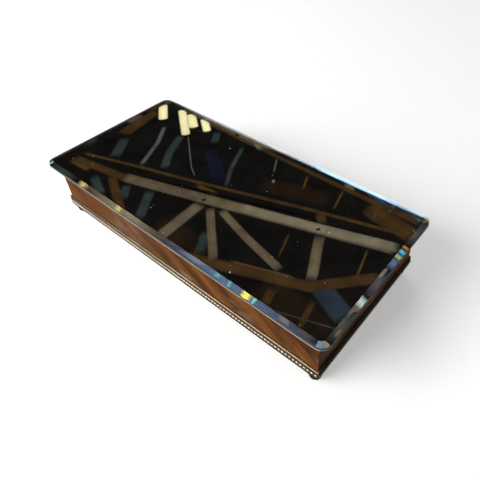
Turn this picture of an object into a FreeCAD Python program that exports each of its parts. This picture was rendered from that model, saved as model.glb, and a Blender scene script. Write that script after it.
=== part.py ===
import FreeCAD, Part
import math
import os
import re
import Sketcher

# Vanity trinket box: a low rectangular veneered case on ball feet, with a bevelled plate
# mirror for a lid. Millimetres. The origin is on the table, under the middle of the box:
# +X runs along the long side, -Y is the front, +Z is up. The lid is hinged along +Y.

# Driving sizes: each is set here once. Every other size follows from these.
SIZES = {
    # the case
    "case_length": (336.0, "outside length of the case, over its veneer"),
    "case_width": (150.0, "outside width of the case, over its veneer"),
    "wall_height": (54.0, "underside of the case to its rim"),
    "core_thickness": (7.2, "solid wood of a wall, without veneer"),
    "veneer_thickness": (0.8, "saw-cut veneer on the outside"),
    "corner_ease": (0.7, "radius of the eased upright corners"),
    # the bottom
    "bottom_thickness": (4.0, "bottom board"),
    "rebate_depth": (1.2, "how far the bottom board is let into each wall"),
    "board_gap": (0.1, "slack round a board in its rebate"),
    "felt_thickness": (0.8, "felt under the bottom board"),
    "felt_inset": (12.0, "edge of the case to the edge of the felt"),
    # the brass moulding round the base
    "band_height": (10.8, "height of the moulding"),
    "band_projection": (1.8, "how far the moulding stands out from the veneer"),
    "fillet_height": (1.1, "plain fillet along the top"),
    "fillet_ease": (0.4, "bevel on the outer edge of the fillet"),
    "groove_height": (2.0, "sunk line under the fillet"),
    "groove_depth": (0.8, "depth of the sunk line"),
    "bead_diameter": (2.5, "beaded wire in the moulding"),
    "bead_centre": (5.6, "bottom of the moulding to the middle of the beaded wire"),
    "bead_gap": (0.1, "slack round the beaded wire in its seat"),
    # the feet
    "foot_height": (11.0, "table to the underside of the case"),
    "foot_ball_radius": (5.7, "ball of a foot"),
    "foot_flat_radius": (2.5, "worn flat under the ball"),
    "foot_neck_radius": (4.0, "neck above the ball"),
    "foot_collar_radius": (6.0, "collar that meets the case"),
    "foot_collar_height": (1.6, "thickness of the collar"),
    "foot_stud_radius": (1.2, "stud that holds the foot in the corner"),
    "foot_stud_length": (14.0, "length of the stud in the corner"),
    "foot_inset": (5.5, "outside of the case to the middle of a foot"),
    "stud_gap": (0.1, "slack round the stud"),
    # the lining
    "lining_thickness": (1.6, "covered card against each wall"),
    "lining_drop": (1.4, "underside of the lid board to the top of the wall lining"),
    "lining_gap": (0.15, "slack round the linings"),
    "floor_pad_thickness": (3.0, "padded floor"),
    "pad_gap": (0.3, "slack round the padded floor"),
    # the mirror lid
    "glass_overhang": (9.0, "how far the glass stands out past the case"),
    "glass_thickness": (5.0, "plate glass"),
    "glass_corner_radius": (9.0, "rounded corner of the glass"),
    "bevel_width": (5.0, "width of the polished bevel"),
    "bevel_drop": (1.0, "how far the bevel falls to its outer edge"),
    "glass_arris": (0.6, "ground lower edge of the glass"),
    "silver_thickness": (0.2, "silvering and its backing paint"),
    "silver_inset": (0.8, "edge of the glass to the edge of the silvering"),
    "bumper_height": (0.4, "felt dot on the rim"),
    "bumper_radius": (2.6, "felt dot on the rim"),
    "lid_board_thickness": (5.0, "board under the mirror, inside the rim"),
    "lid_board_gap": (0.8, "slack between the lid board and the walls"),
    "lid_pad_thickness": (3.5, "padding under the lid board"),
    "lid_pad_inset": (5.0, "edge of the lid board to the edge of its padding"),
    # the stop hinges
    "hinge_offset": (110.0, "middle of the case to the middle of a hinge"),
    "hinge_length": (30.0, "length of a hinge"),
    "knuckle_radius": (2.6, "barrel of the hinge"),
    "barrel_gap": (0.2, "back of the case to the barrel"),
    "barrel_headroom": (0.3, "barrel to the silvering above it"),
    "knuckle_length": (10.0, "middle knuckle, which belongs to the lid"),
    "knuckle_gap": (0.2, "slack at each end of the middle knuckle"),
    "pin_radius": (1.0, "hinge pin"),
    "pin_gap": (0.05, "running clearance round the pin"),
    "pin_head_radius": (1.7, "domed end of the pin"),
    "case_leaf_height": (12.5, "hinge axis to the lower edge of the case leaf"),
    "leaf_setback": (0.8, "hinge axis back to the face of the case leaf, where the heel lands"),
    "notch_gap": (0.3, "slack under the middle knuckle"),
    "lid_leaf_thickness": (1.2, "leaf let into the lid board"),
    "lid_leaf_reach": (16.0, "how far the lid leaf runs into the lid board"),
    "leaf_gap": (0.2, "slack round the lid leaf in its recess"),
    "heel_length": (4.25, "axis to the tip of the stop heel"),
    "heel_height": (1.8, "thickness of the stop heel"),
    # the screws
    "screw_head_radius": (2.1, "countersunk head"),
    "screw_head_height": (1.1, "countersunk head"),
    "screw_shank_radius": (1.1, "shank"),
    "screw_slot_width": (0.5, "slot in the head"),
    "screw_slot_depth": (0.4, "slot in the head"),
    "case_screw_length": (7.0, "screw into the back wall"),
    "lid_screw_length": (4.4, "screw into the lid board"),
    "screw_spacing": (10.0, "screw to screw along a hinge"),
    "pilot_gap": (0.06, "slack round a screw in its hole"),
}

# Places worked out from the driving sizes, each from those above it.
PLACES = {
    "half_length": "case_length / 2",
    "half_width": "case_width / 2",
    "core_half_length": "half_length - veneer_thickness",
    "core_half_width": "half_width - veneer_thickness",
    "inner_half_length": "core_half_length - core_thickness",
    "inner_half_width": "core_half_width - core_thickness",
    "rim_level": "foot_height + wall_height",
    "board_level": "foot_height + bottom_thickness",
    "silver_level": "rim_level + bumper_height",
    "glass_level": "silver_level + silver_thickness",
    "glass_top": "glass_level + glass_thickness",
    "glass_half_length": "half_length + glass_overhang",
    "glass_half_width": "half_width + glass_overhang",
    "lid_board_level": "silver_level - lid_board_thickness",
    "lid_board_half_length": "inner_half_length - lid_board_gap",
    "lid_board_half_width": "inner_half_width - lid_board_gap",
    "lid_pad_level": "lid_board_level - lid_pad_thickness",
    "lining_top": "lid_board_level - lining_drop",
    "lined_half_length": "inner_half_length - lining_gap - lining_thickness",
    "lined_half_width": "inner_half_width - lining_gap - lining_thickness",
    "band_top": "foot_height + band_height",
    "bead_level": "foot_height + bead_centre",
    "bead_seat": "bead_diameter / 2 + bead_gap",
    "foot_centre_x": "half_length - foot_inset",
    "foot_centre_y": "half_width - foot_inset",
    "axis_y": "half_width + barrel_gap + knuckle_radius",
    "axis_level": "silver_level - barrel_headroom - knuckle_radius",
    "case_leaf_face": "axis_y - leaf_setback",
    "lid_leaf_level": "silver_level - lid_leaf_thickness",
    "lid_leaf_front": "lid_board_half_width - lid_leaf_reach",
    "lid_leaf_clear": "knuckle_radius + notch_gap",
    "outer_bound": "half_length + half_width",
}

CORNERS = {"front_left": (-1, -1), "front_right": (1, -1), "rear_left": (-1, 1), "rear_right": (1, 1)}
HINGES = {"left": -1, "right": 1}

doc = FreeCAD.newDocument("VanityTrinketBox")
cells = {}
nodes = []


def formula(text):
    """Point every plain name in a formula at its cell."""
    return re.sub(r"[a-z_]*[a-z]", lambda word: cells.get(word.group(0), word.group(0)), text)


def make_sheets():
    """Write the driving sizes as plain numbers, and the places as formulas over them."""
    size_sheet = doc.addObject("Spreadsheet::Sheet", "Size")
    for row, (alias, (number, note)) in enumerate(SIZES.items(), start=1):
        size_sheet.set(f"A{row}", alias)
        size_sheet.set(f"B{row}", str(number))
        size_sheet.set(f"C{row}", note)
        size_sheet.setAlias(f"B{row}", alias)
        cells[alias] = f"Size.{alias}"
    place_sheet = doc.addObject("Spreadsheet::Sheet", "Place")
    for row, (alias, text) in enumerate(PLACES.items(), start=1):
        place_sheet.set(f"A{row}", alias)
        place_sheet.set(f"B{row}", "=" + formula(text))
        place_sheet.setAlias(f"B{row}", alias)
        cells[alias] = f"Place.{alias}"
        doc.recompute()
    return place_sheet


place_sheet = make_sheets()


def bind(thing, path, text):
    """Let a formula drive a property."""
    thing.setExpression(path, formula(text))


def value(text):
    """The present value of a formula."""
    return float(place_sheet.evalExpression(formula(text)))


def node(thing, label):
    """Name a finished piece."""
    thing.Label = label
    nodes.append(thing)
    return thing


def put(thing, place):
    """Bind a piece's place, given as three formulas."""
    for axis, text in zip("xyz", place):
        bind(thing, f"Placement.Base.{axis}", text)


# ------------------------------------------------------------------ simple solids
def block(name, x, y, z):
    """A box between a low and a high formula on each axis."""
    box = doc.addObject("Part::Box", name)
    for side, (low, high) in zip(("Length", "Width", "Height"), (x, y, z)):
        bind(box, side, f"({high}) - ({low})")
    put(box, (x[0], y[0], z[0]))
    return box


def centred_block(name, half_x, half_y, z):
    """A box with the Z axis through its middle."""
    return block(name, (f"-({half_x})", half_x), (f"-({half_y})", half_y), z)


TURN_TO = {
    "x": FreeCAD.Rotation(FreeCAD.Vector(0, 1, 0), 90),
    "y": FreeCAD.Rotation(FreeCAD.Vector(1, 0, 0), -90),
    "z": FreeCAD.Rotation(),
}


def rod(name, along, radius, place, length):
    """A cylinder that starts at a place and runs along +X, +Y or +Z."""
    cylinder = doc.addObject("Part::Cylinder", name)
    cylinder.Placement = FreeCAD.Placement(FreeCAD.Vector(), TURN_TO[along])
    bind(cylinder, "Radius", radius)
    bind(cylinder, "Height", length)
    put(cylinder, place)
    return cylinder


def ball(name, radius, place):
    """A whole sphere."""
    sphere = doc.addObject("Part::Sphere", name)
    bind(sphere, "Radius", radius)
    put(sphere, place)
    return sphere


def fused(name, pieces):
    whole = doc.addObject("Part::MultiFuse", name)
    whole.Shapes = pieces
    whole.Refine = True
    return whole


def cut(name, base, tools):
    """Take one or more tools away from a base."""
    tool = tools[0] if len(tools) == 1 else fused(name + "_tools", tools)
    result = doc.addObject("Part::Cut", name)
    result.Base = base
    result.Tool = tool
    return result


def shared(name, first, second):
    """What two solids have in common."""
    result = doc.addObject("Part::Common", name)
    result.Base = first
    result.Tool = second
    return result


def group(name, pieces):
    """Separate solids that make one node."""
    bunch = doc.addObject("Part::Compound", name)
    bunch.Links = pieces
    return bunch


# ------------------------------------------------------------------ sketched bodies
def outline(owner, name, corners, plane=None):
    """A closed sketch with each corner pinned by two formulas."""
    if plane:
        sketch = owner.newObject("Sketcher::SketchObject", name)
        origin_plane = [f for f in owner.Origin.OriginFeatures if f.Role == plane][0]
        sketch.AttachmentSupport = [(origin_plane, "")]
        sketch.MapMode = "FlatFace"
    else:
        sketch = doc.addObject("Sketcher::SketchObject", name)
    points = [FreeCAD.Vector(value(x), value(y), 0) for x, y in corners]
    count = len(corners)
    for index in range(count):
        sketch.addGeometry(Part.LineSegment(points[index], points[(index + 1) % count]), False)
    for index in range(count):
        sketch.addConstraint(Sketcher.Constraint("Coincident", index, 2, (index + 1) % count, 1))
    for index, corner in enumerate(corners):
        for kind, text in zip(("DistanceX", "DistanceY"), corner):
            pin = Sketcher.Constraint(kind, -1, 1, index, 1, value(text))
            number = sketch.addConstraint(pin)
            sketch.setExpression(f"Constraints[{number}]", formula(text))
    return sketch


def new_body(name):
    return doc.addObject("PartDesign::Body", name)


def pad(body, sketch, length, symmetric=False):
    """Raise a sketch into a solid."""
    feature = body.newObject("PartDesign::Pad", body.Name + "_pad")
    feature.Profile = sketch
    if symmetric:
        feature.SideType = "Symmetric"
    bind(feature, "Length", length)
    doc.recompute()
    return feature


def edges_where(feature, test):
    """Names of the edges whose bounding box passes a test."""
    return [f"Edge{n}" for n, edge in enumerate(feature.Shape.Edges, start=1) if test(edge.BoundBox)]


def is_upright(box):
    return box.ZLength > 1 and box.XLength < 0.01 and box.YLength < 0.01


def is_level_at(level):
    def test(box):
        return box.ZLength < 0.01 and abs(box.ZMin - level) < 0.01
    return test


def rounded_outline(body, name, half_x, half_y, radius, level):
    """A rectangle with round corners, at a level above the body's own floor."""
    sketch = body.newObject("Sketcher::SketchObject", name)
    origin_plane = [f for f in body.Origin.OriginFeatures if f.Role == "XY_Plane"][0]
    sketch.AttachmentSupport = [(origin_plane, "")]
    sketch.MapMode = "FlatFace"
    bind(sketch, "AttachmentOffset.Base.z", level)
    quarters = ((1, 1), (-1, 1), (-1, -1), (1, -1))
    for quarter, (sx, sy) in enumerate(quarters):
        centre = (f"{sx} * (({half_x}) - ({radius}))", f"{sy} * (({half_y}) - ({radius}))")
        middle = FreeCAD.Vector(value(centre[0]), value(centre[1]), 0)
        circle = Part.Circle(middle, FreeCAD.Vector(0, 0, 1), value(radius))
        start = math.pi / 2 * quarter
        sketch.addGeometry(Part.ArcOfCircle(circle, start, start + math.pi / 2), False)
        for kind, text in zip(("DistanceX", "DistanceY"), centre):
            pin = Sketcher.Constraint(kind, -1, 1, quarter, 3, value(text))
            number = sketch.addConstraint(pin)
            sketch.setExpression(f"Constraints[{number}]", formula(text))
    size = sketch.addConstraint(Sketcher.Constraint("Radius", 0, value(radius)))
    sketch.setExpression(f"Constraints[{size}]", formula(radius))
    for quarter in range(4):
        after = (quarter + 1) % 4
        if quarter:
            sketch.addConstraint(Sketcher.Constraint("Equal", 0, quarter))
        here = sketch.Geometry[quarter].EndPoint
        there = sketch.Geometry[after].StartPoint
        line = sketch.addGeometry(Part.LineSegment(here, there), False)
        sketch.addConstraint(Sketcher.Constraint("Tangent", quarter, 2, line, 1))
        sketch.addConstraint(Sketcher.Constraint("Tangent", line, 2, after, 1))
    return sketch


# ------------------------------------------------------------------ mitres
def mitre_wedge(side):
    """The sector of space that one side of the case owns, up to its two mitre planes."""
    run = "half_length - half_width"
    wide = "half_length + outer_bound"
    deep = "half_width + outer_bound"
    far = {
        "front": [(f"-({wide})", f"-({deep})"), (wide, f"-({deep})"), (run, "0"), (f"-({run})", "0")],
        "rear": [(wide, deep), (f"-({wide})", deep), (f"-({run})", "0"), (run, "0")],
        "right": [(wide, f"-({deep})"), (wide, deep), (run, "0")],
        "left": [(f"-({wide})", deep), (f"-({wide})", f"-({deep})"), (f"-({run})", "0")],
    }
    wedge = doc.addObject("Part::Extrusion", f"{side}_mitre")
    wedge.Base = outline(doc, f"{side}_mitre_outline", far[side])
    wedge.DirMode = "Custom"
    wedge.Dir = FreeCAD.Vector(0, 0, 1)
    wedge.Solid = True
    bind(wedge, "LengthFwd", "glass_top")
    return wedge


# ------------------------------------------------------------------ screws
def screw(name, along, place, length, slack="0"):
    """A countersunk wood screw, or its hole when it has slack. Its head faces +Y or +Z."""
    axis = "xyz".index(along)

    def sunk(depth):
        return tuple(text if n != axis else f"{text} - ({depth})" for n, text in enumerate(place))

    head = doc.addObject("Part::Cone", name + "_head")
    head.Placement = FreeCAD.Placement(FreeCAD.Vector(), TURN_TO[along])
    bind(head, "Radius1", f"screw_shank_radius + {slack}")
    bind(head, "Radius2", f"screw_head_radius + {slack}")
    bind(head, "Height", "screw_head_height")
    put(head, sunk("screw_head_height"))
    shank = rod(name + "_shank", along, f"screw_shank_radius + {slack}", sunk(f"{length} + {slack}"),
                f"{length} + {slack} - screw_head_height / 2")
    return fused(name, [head, shank])


def slotted(name, along, place, length):
    """A screw with the slot cut across its head, along the hinge."""
    whole = screw(name + "_blank", along, place, length)
    spans = [(f"{place[0]} - 2 * screw_head_radius", f"{place[0]} + 2 * screw_head_radius")]
    for axis, text in zip("yz", place[1:]):
        if axis == along:
            spans.append((f"{text} - screw_slot_depth", f"{text} + screw_slot_depth"))
        else:
            spans.append((f"{text} - screw_slot_width / 2", f"{text} + screw_slot_width / 2"))
    return cut(name, whole, [block(name + "_slot", *spans)])


def hinge_x(sign, along="0"):
    return f"{sign} * hinge_offset + {along}"


def case_screw_places(sign):
    level = "axis_level - case_leaf_height * 0.64"
    return [(hinge_x(sign, f"{step} * screw_spacing"), "case_leaf_face", level) for step in (-1, 0, 1)]


def lid_screw_places(sign):
    depth = "lid_board_half_width - lid_leaf_reach / 2"
    return [(hinge_x(sign, f"{step} * screw_spacing"), depth, "silver_level") for step in (-1, 1)]


def screw_holes(name, along, places, length):
    return [screw(f"{name}_{n}", along, place, length, "pilot_gap") for n, place in enumerate(places)]


# ------------------------------------------------------------------ the case
def make_walls(wedges):
    """Four solid walls mitred at the corners, rebated for the bottom, drilled for the feet."""
    outside = centred_block("core_outside", "core_half_length", "core_half_width",
                            ("foot_height", "rim_level"))
    inside = centred_block("core_inside", "inner_half_length", "inner_half_width",
                           ("foot_height - 1", "rim_level + 1"))
    rebate = centred_block("bottom_rebate", "inner_half_length + rebate_depth",
                           "inner_half_width + rebate_depth", ("foot_height - 1", "board_level"))
    studs = []
    for corner, (sx, sy) in CORNERS.items():
        place = (f"{sx} * foot_centre_x", f"{sy} * foot_centre_y", "foot_height - 1")
        studs.append(rod(f"stud_hole_{corner}", "z", "foot_stud_radius + stud_gap", place,
                         "foot_stud_length + stud_gap + 1"))
    ring = cut("core_ring", outside, [inside, rebate] + studs)
    for side, wedge in wedges.items():
        wall = shared(f"{side}_wall_blank", ring, wedge)
        if side == "rear":
            wall = cut("rear_wall_cut", wall, rear_recesses("core"))
        node(wall, f"{side}_wall")


def rear_recesses(prefix):
    """Recesses in the rim for the lid leaves, and the holes of the case screws."""
    tools = []
    for hand, sign in HINGES.items():
        half = "hinge_length / 2 + leaf_gap"
        tools.append(block(f"{prefix}_leaf_recess_{hand}",
                           (hinge_x(sign, f"-({half})"), hinge_x(sign, half)),
                           ("inner_half_width - 1", "half_width + 1"),
                           ("lid_leaf_level - leaf_gap", "rim_level + 1")))
        tools += screw_holes(f"{prefix}_hole_{hand}", "y", case_screw_places(sign), "case_screw_length")
    return tools


def make_veneers(wedges):
    """Veneer on each wall, mitred at the corners, with the upright corners eased."""
    skin = block("veneer_outside", ("-half_length", "half_length"), ("-half_width", "half_width"),
                 ("foot_height", "rim_level"))
    doc.recompute()
    eased = doc.addObject("Part::Fillet", "veneer_eased")
    eased.Base = skin
    upright = edges_where(skin, is_upright)
    ease = value("corner_ease")
    eased.Edges = [(int(name[4:]), ease, ease) for name in upright]
    core = centred_block("veneer_inside", "core_half_length", "core_half_width",
                         ("foot_height - 1", "rim_level + 1"))
    ring = cut("veneer_ring", eased, [core])
    for side, wedge in wedges.items():
        sheet = shared(f"{side}_veneer_blank", ring, wedge)
        if side == "rear":
            sheet = cut("rear_veneer_cut", sheet, rear_recesses("veneer"))
        node(sheet, f"{side}_veneer")


def band_profile(face, sign):
    """Section of the moulding: distance out from the middle of the case, and height."""
    def out(text):
        return f"{sign} * ({face} + {text})"

    seat = "bead_seat"
    return [
        (out("0"), "foot_height"),
        (out("band_projection"), "foot_height"),
        (out("band_projection"), f"bead_level - {seat}"),
        (out(f"band_projection - {seat}"), f"bead_level - {seat}"),
        (out(f"band_projection - {seat}"), f"bead_level + {seat}"),
        (out("band_projection"), f"bead_level + {seat}"),
        (out("band_projection"), "band_top - fillet_height - groove_height"),
        (out("band_projection - groove_depth"), "band_top - fillet_height - groove_height"),
        (out("band_projection - groove_depth"), "band_top - fillet_height"),
        (out("band_projection"), "band_top - fillet_height"),
        (out("band_projection"), "band_top - fillet_ease"),
        (out("band_projection - fillet_ease"), "band_top"),
        (out("0"), "band_top"),
    ]


def make_base_moulding(wedges):
    """A milled brass moulding on each side, with a beaded wire in its seat."""
    for side, wedge in wedges.items():
        long_side = side in ("front", "rear")
        face = "half_width" if long_side else "half_length"
        sign = 1 if side in ("rear", "right") else -1
        body = new_body(f"{side}_band_strip")
        plane = "YZ_Plane" if long_side else "XZ_Plane"
        section = outline(body, f"{side}_band_section", band_profile(face, sign), plane)
        pad(body, section, "2 * outer_bound", symmetric=True)
        node(shared(f"{side}_band_mitred", body, wedge), f"{side}_band")

        centre = f"{sign} * ({face} + band_projection)"
        reach = "outer_bound"
        if long_side:
            wire = rod(f"{side}_wire", "x", "bead_diameter / 2", (f"-{reach}", centre, "bead_level"),
                       f"2 * {reach}")
        else:
            wire = rod(f"{side}_wire", "y", "bead_diameter / 2", (centre, f"-{reach}", "bead_level"),
                       f"2 * {reach}")
        node(shared(f"{side}_wire_mitred", wire, wedge), f"{side}_beading")


def make_feet():
    """Four ball feet, each with a neck, a collar and a stud up into the corner."""
    rise = "sqrt(foot_ball_radius ^ 2 - foot_flat_radius ^ 2)"
    for corner, (sx, sy) in CORNERS.items():
        x = f"{sx} * foot_centre_x"
        y = f"{sy} * foot_centre_y"
        sphere = ball(f"foot_ball_{corner}", "foot_ball_radius", (x, y, rise))
        bind(sphere, "Angle1", "-acos(foot_flat_radius / foot_ball_radius)")
        neck = rod(f"foot_neck_{corner}", "z", "foot_neck_radius", (x, y, rise),
                   f"foot_height - {rise}")
        collar = rod(f"foot_collar_{corner}", "z", "foot_collar_radius",
                     (x, y, "foot_height - foot_collar_height"), "foot_collar_height")
        stud = rod(f"foot_stud_{corner}", "z", "foot_stud_radius", (x, y, rise),
                   f"foot_height - {rise} + foot_stud_length")
        node(fused(f"foot_{corner}", [sphere, neck, collar, stud]), f"foot_{corner}")


def make_bottom():
    """Bottom board in its rebate, and the felt under it."""
    slack = "rebate_depth - board_gap"
    board = centred_block("bottom", f"inner_half_length + {slack}", f"inner_half_width + {slack}",
                          ("foot_height", "board_level"))
    node(board, "bottom_board")
    felt = centred_block("felt", "half_length - felt_inset", "half_width - felt_inset",
                         ("foot_height - felt_thickness", "foot_height"))
    node(felt, "base_felt")


def make_linings():
    """Covered card against each wall, and a padded floor between them."""
    long_half = "inner_half_length - lining_gap"
    short_half = "lined_half_width - lining_gap"
    height = ("board_level", "lining_top")
    for side, sign in (("front", -1), ("rear", 1)):
        faces = sorted([f"{sign} * lined_half_width", f"{sign} * (inner_half_width - lining_gap)"],
                       key=value)
        node(block(f"{side}_card", (f"-({long_half})", long_half), tuple(faces), height),
             f"{side}_lining")
    for side, sign in (("left", -1), ("right", 1)):
        faces = sorted([f"{sign} * lined_half_length", f"{sign} * (inner_half_length - lining_gap)"],
                       key=value)
        node(block(f"{side}_card", tuple(faces), (f"-({short_half})", short_half), height),
             f"{side}_lining")
    pad_block = centred_block("floor_padding", "lined_half_length - pad_gap",
                              "lined_half_width - pad_gap",
                              ("board_level", "board_level + floor_pad_thickness"))
    node(pad_block, "floor_pad")


def make_bumpers():
    """Felt dots on the rim at the corners, which the mirror rests on."""
    dots = []
    for corner, (sx, sy) in CORNERS.items():
        place = (f"{sx} * foot_centre_x", f"{sy} * foot_centre_y", "rim_level")
        dots.append(rod(f"dot_{corner}", "z", "bumper_radius", place, "bumper_height"))
    node(group("dots", dots), "rim_bumpers")


# ------------------------------------------------------------------ the lid
def make_mirror():
    """Bevelled plate glass with rounded corners, and the silvering on its back."""
    glass = new_body("glass")
    plan = ("glass_half_length", "glass_half_width", "glass_corner_radius")
    flat = tuple(f"{size} - bevel_width" for size in plan)
    shoulder = "glass_thickness - bevel_drop"
    plate = pad(glass, rounded_outline(glass, "glass_outline", *plan, "0"), shoulder)
    bevel = glass.newObject("PartDesign::AdditiveLoft", "glass_bevel")
    bevel.Profile = rounded_outline(glass, "glass_bevel_foot", *plan, shoulder)
    bevel.Sections = [rounded_outline(glass, "glass_flat", *flat, "glass_thickness")]
    bevel.Ruled = True
    doc.recompute()
    assert bevel.Shape.Volume > plate.Shape.Volume, "the bevel adds nothing"
    arris = glass.newObject("PartDesign::Chamfer", "glass_ground_edge")
    arris.Base = (bevel, edges_where(bevel, is_level_at(0)))
    bind(arris, "Size", "glass_arris")
    put(glass, ("0", "0", "glass_level"))
    node(glass, "mirror_plate")

    silver = new_body("silver")
    back = rounded_outline(silver, "silver_outline", *(f"{size} - silver_inset" for size in plan), "0")
    pad(silver, back, "silver_thickness")
    put(silver, ("0", "0", "silver_level"))
    node(silver, "mirror_silvering")


def make_lid_board():
    """Board glued under the mirror, which drops inside the rim, and its padding."""
    blank = centred_block("lid_blank", "lid_board_half_length", "lid_board_half_width",
                          ("lid_board_level", "silver_level"))
    tools = []
    for hand, sign in HINGES.items():
        half = "hinge_length / 2 + leaf_gap"
        tools.append(block(f"lid_recess_{hand}", (hinge_x(sign, f"-({half})"), hinge_x(sign, half)),
                           ("lid_leaf_front - leaf_gap", "lid_board_half_width + 1"),
                           ("lid_leaf_level", "silver_level + 1")))
        tools += screw_holes(f"lid_hole_{hand}", "z", lid_screw_places(sign), "lid_screw_length")
    node(cut("lid_board_cut", blank, tools), "lid_board")
    padding = centred_block("lid_padding_block", "lid_board_half_length - lid_pad_inset",
                            "lid_board_half_width - lid_pad_inset",
                            ("lid_pad_level", "lid_board_level"))
    node(padding, "lid_padding")


# ------------------------------------------------------------------ the hinges
def pin_bore(name, sign):
    half = "hinge_length / 2 + 1"
    return rod(name, "x", "pin_radius + pin_gap", (hinge_x(sign, f"-({half})"), "axis_y", "axis_level"),
               f"2 * ({half})")


def make_case_leaf(hand, sign):
    """Upright plate on the back of the case, with a knuckle at each end."""
    half = "hinge_length / 2"
    inner = "knuckle_length / 2 + knuckle_gap"
    across = ("half_width", "case_leaf_face")
    pieces = [block(f"case_plate_{hand}", (hinge_x(sign, f"-{half}"), hinge_x(sign, half)), across,
                    ("axis_level - case_leaf_height", "axis_level - lid_leaf_clear"))]
    for end in (-1, 1):
        span = sorted([hinge_x(sign, f"{end} * ({inner})"), hinge_x(sign, f"{end} * {half}")], key=value)
        name = f"{hand}_{'inner' if end == -sign else 'outer'}"
        pieces.append(block(f"case_ear_{name}", tuple(span), across,
                            ("axis_level - lid_leaf_clear - 1", "axis_level")))
        pieces.append(rod(f"case_knuckle_{name}", "x", "knuckle_radius",
                          (span[0], "axis_y", "axis_level"), f"({span[1]}) - ({span[0]})"))
    holes = screw_holes(f"case_leaf_hole_{hand}", "y", case_screw_places(sign), "case_screw_length")
    leaf = cut(f"case_leaf_{hand}", fused(f"case_leaf_blank_{hand}", pieces),
               [pin_bore(f"case_bore_{hand}", sign)] + holes)
    node(leaf, f"hinge_case_leaf_{hand}")


def make_lid_leaf(hand, sign):
    """Level plate let into the lid board, with the middle knuckle and its stop heel.

    The heel's lower face lies in the plane of the axis. As the lid opens, the heel swings
    down behind the case leaf, and its tip meets the leaf just past 100 degrees."""
    half = "hinge_length / 2"
    narrow = "knuckle_length / 2"
    level = ("lid_leaf_level", "silver_level")
    rear = "axis_y - lid_leaf_clear"
    plate = block(f"lid_plate_{hand}", (hinge_x(sign, f"-{half}"), hinge_x(sign, half)),
                  ("lid_leaf_front", rear), level)
    span = (hinge_x(sign, f"-{narrow}"), hinge_x(sign, narrow))
    tongue = block(f"lid_tongue_{hand}", span, (f"{rear} - 1", "axis_y"),
                   ("lid_leaf_level", "axis_level + knuckle_radius"))
    barrel = rod(f"lid_knuckle_{hand}", "x", "knuckle_radius", (span[0], "axis_y", "axis_level"),
                 "knuckle_length")
    heel = block(f"lid_heel_{hand}", span, ("axis_y", "axis_y + heel_length"),
                 ("axis_level", "axis_level + heel_height"))
    holes = screw_holes(f"lid_leaf_hole_{hand}", "z", lid_screw_places(sign), "lid_screw_length")
    leaf = cut(f"lid_leaf_{hand}", fused(f"lid_leaf_blank_{hand}", [plate, tongue, barrel, heel]),
               [pin_bore(f"lid_bore_{hand}", sign)] + holes)
    node(leaf, f"hinge_lid_leaf_{hand}")


def make_pin(hand, sign):
    """Hinge pin with a domed end at each side of the barrel."""
    half = "hinge_length / 2"
    reach = f"{half} + pin_head_radius / 2"
    shaft = rod(f"pin_shaft_{hand}", "x", "pin_radius",
                (hinge_x(sign, f"-({reach})"), "axis_y", "axis_level"), f"2 * ({reach})")
    pieces = [shaft]
    for end, name in ((-1, "low"), (1, "high")):
        dome = ball(f"pin_dome_{hand}_{name}", "pin_head_radius",
                    (hinge_x(sign, f"{end} * ({half} + pin_gap)"), "axis_y", "axis_level"))
        beyond = sorted([f"{end} * ({half} + pin_gap)", f"{end} * ({half} + 2 * pin_head_radius)"],
                        key=value)
        keep = block(f"pin_keep_{hand}_{name}", (hinge_x(sign, beyond[0]), hinge_x(sign, beyond[1])),
                     ("axis_y - knuckle_radius", "axis_y + knuckle_radius"),
                     ("axis_level - knuckle_radius", "axis_level + knuckle_radius"))
        pieces.append(shared(f"pin_head_{hand}_{name}", dome, keep))
    node(fused(f"pin_{hand}", pieces), f"hinge_pin_{hand}")


def make_hinges():
    """Two stop hinges, their pins, and their screws as two groups."""
    case_screws = []
    lid_screws = []
    for hand, sign in HINGES.items():
        make_case_leaf(hand, sign)
        make_lid_leaf(hand, sign)
        make_pin(hand, sign)
        for n, place in enumerate(case_screw_places(sign)):
            case_screws.append(slotted(f"case_screw_{hand}_{n}", "y", place, "case_screw_length"))
        for n, place in enumerate(lid_screw_places(sign)):
            lid_screws.append(slotted(f"lid_screw_{hand}_{n}", "z", place, "lid_screw_length"))
    node(group("case_screws", case_screws), "hinge_case_screws")
    node(group("lid_screws", lid_screws), "hinge_lid_screws")


# ------------------------------------------------------------------ build, check, write
def check_everything():
    """Stop if any object failed to rebuild or any piece isn't a sound solid."""
    for thing in doc.Objects:
        bad = [state for state in thing.State if state in ("Invalid", "Error")]
        assert not bad, f"{thing.Label} did not rebuild: {thing.State}"
    for piece in nodes:
        assert not piece.Shape.isNull(), f"{piece.Label} is empty"
        assert piece.Shape.isValid(), f"{piece.Label} is not valid"
        assert piece.Shape.Solids, f"{piece.Label} holds no solid"


def stop_angle():
    """Lid angle at which the tip of the heel meets the case leaf, in degrees."""
    return 90 + math.degrees(math.asin(value("leaf_setback / heel_length")))


wedges = {side: mitre_wedge(side) for side in ("front", "rear", "left", "right")}
make_walls(wedges)
make_veneers(wedges)
make_base_moulding(wedges)
make_feet()
make_bottom()
make_linings()
make_bumpers()
make_mirror()
make_lid_board()
make_hinges()
doc.recompute()
check_everything()

os.makedirs("parts", exist_ok=True)
for piece in nodes:
    piece.Shape.exportStep(f"parts/{piece.Label}.step")
    box = piece.Shape.BoundBox
    print(f"{piece.Label}: {len(piece.Shape.Solids)} solid(s), {piece.Shape.Volume:.1f} mm3, "
          f"z {box.ZMin:.2f} to {box.ZMax:.2f}")
print(f"{len(nodes)} nodes, top at {value('glass_top'):.1f} mm, lid stops at {stop_angle():.1f} degrees")
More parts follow.
